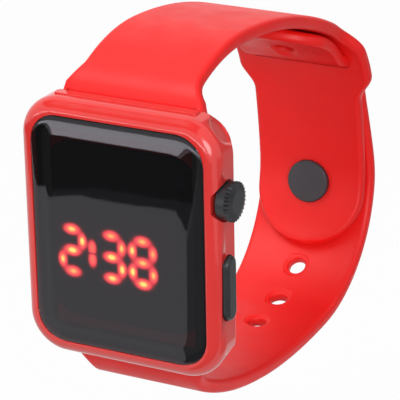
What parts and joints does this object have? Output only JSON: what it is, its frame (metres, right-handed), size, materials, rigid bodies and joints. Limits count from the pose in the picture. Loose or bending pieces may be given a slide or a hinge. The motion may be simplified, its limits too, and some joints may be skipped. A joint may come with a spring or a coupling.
{
  "type": "wristwatch",
  "caption": "Digital wristwatch: rounded rectangular case with a smoked window over red light bars, push crown, side button and a silicone pin-and-tuck strap.",
  "frame": {"origin": "middle of the back cover's flat rear face", "axes": "+X to 3 o'clock (crown side), +Z to 12 o'clock, +Y out of the case back into the wrist loop; the window faces -Y"},
  "size_m": [0.0367, 0.0767, 0.0639],
  "materials": {
    "case_plastic": "glossy moulded coral red plastic",
    "strap_silicone": "smooth satin coral red silicone",
    "window_tint": "smoked acrylic, polished",
    "window_tape": "black adhesive tape",
    "black_moulding": "fine matt black",
    "light_bar_lit": "glowing red diffuser",
    "light_bar_dark": "unlit red diffuser",
    "board_green": "solder mask over glass fibre",
    "chip_black": "black encapsulant",
    "can_steel": "drawn steel can",
    "resistor_ceramic": "coated ceramic",
    "spring_steel": "bright spring steel",
    "contact_brass": "plated brass strip",
    "frame_plastic": "natural nylon",
    "cover_steel": "brushed stainless steel",
    "screw_steel": "turned stainless steel",
    "seal_rubber": "black nitrile rubber",
    "knob_dark": "dark grey satin",
    "stud_dark": "dark grey satin"
  },
  "bodies": {
    "case": {"case_shell": "case_plastic", "lens": "window_tint", "lens_tape": "window_tape", "display_mask": "black_moulding", "digit_bars_lit": "light_bar_lit", "digit_bars_dark": "light_bar_dark", "circuit_board": "board_green", "controller_chip": "chip_black", "quartz_crystal": "can_steel", "board_resistors": "resistor_ceramic", "crown_switch": "chip_black", "button_switch": "chip_black", "module_frame": "frame_plastic", "battery": "can_steel", "battery_leaf": "contact_brass", "battery_clip": "spring_steel", "back_gasket": "seal_rubber", "back_cover": "cover_steel", "back_screws": "screw_steel", "crown_spring": "spring_steel", "crown_seal": "seal_rubber", "button_spring": "spring_steel", "button_seal": "seal_rubber", "top_bar_tube": "spring_steel", "top_bar_spring": "spring_steel", "bottom_bar_tube": "spring_steel", "bottom_bar_spring": "spring_steel"},
    "crown_slide": {"crown_clip": "spring_steel"},
    "crown": {"crown_knob": "knob_dark", "crown_stem": "spring_steel"},
    "button": {"button_cap": "knob_dark", "button_stem": "spring_steel", "button_clip": "spring_steel"},
    "pin_half": {"pin_strap": "strap_silicone", "stud_base": "stud_dark", "stud_pin": "stud_dark"},
    "tail_half": {"tail_strap": "strap_silicone"},
    "top_bar_tip_right": {"top_bar_tip_right": "spring_steel"},
    "top_bar_tip_left": {"top_bar_tip_left": "spring_steel"},
    "bottom_bar_tip_right": {"bottom_bar_tip_right": "spring_steel"},
    "bottom_bar_tip_left": {"bottom_bar_tip_left": "spring_steel"}
  },
  "joints": [
    {"name": "crown_press", "type": "slide", "parent": "case", "child": "crown_slide", "axis": [-1, 0, 0], "range_m": [0, 0.0005], "stiffness_N_per_m": 1500, "springref_m": -0.0005, "deforming": ["crown_spring"]},
    {"name": "crown_turn", "type": "hinge", "parent": "crown_slide", "child": "crown", "pos_m": [0.018, -0.0064, 0.00844], "axis": [1, 0, 0], "continuous": true},
    {"name": "button_press", "type": "slide", "parent": "case", "child": "button", "axis": [-1, 0, 0], "range_m": [0, 0.0006], "stiffness_N_per_m": 1500, "springref_m": -0.0005, "deforming": ["button_spring"]},
    {"name": "pin_strap_swing", "type": "hinge", "parent": "case", "child": "pin_half", "pos_m": [0, -0.0034, 0.0193], "axis": [1, 0, 0], "range_deg": [0, 45], "deforming": ["pin_strap", "tail_strap"]},
    {"name": "tail_strap_swing", "type": "hinge", "parent": "case", "child": "tail_half", "pos_m": [0, -0.0034, -0.0193], "axis": [1, 0, 0], "range_deg": [-45, 0], "deforming": ["tail_strap", "pin_strap"]},
    {"name": "top_bar_right_press", "type": "slide", "parent": "case", "child": "top_bar_tip_right", "axis": [-1, 0, 0], "range_m": [0, 0.00095], "stiffness_N_per_m": 600, "springref_m": -0.0005, "deforming": ["top_bar_spring"]},
    {"name": "top_bar_left_press", "type": "slide", "parent": "case", "child": "top_bar_tip_left", "axis": [1, 0, 0], "range_m": [0, 0.00095], "stiffness_N_per_m": 600, "springref_m": -0.0005, "deforming": ["top_bar_spring"]},
    {"name": "bottom_bar_right_press", "type": "slide", "parent": "case", "child": "bottom_bar_tip_right", "axis": [-1, 0, 0], "range_m": [0, 0.00095], "stiffness_N_per_m": 600, "springref_m": -0.0005, "deforming": ["bottom_bar_spring"]},
    {"name": "bottom_bar_left_press", "type": "slide", "parent": "case", "child": "bottom_bar_tip_left", "axis": [1, 0, 0], "range_m": [0, 0.00095], "stiffness_N_per_m": 600, "springref_m": -0.0005, "deforming": ["bottom_bar_spring"]}
  ],
  "couplings": [
    {"joint": "tail_strap_swing", "follows": "pin_strap_swing", "ratio": -1}
  ]
}
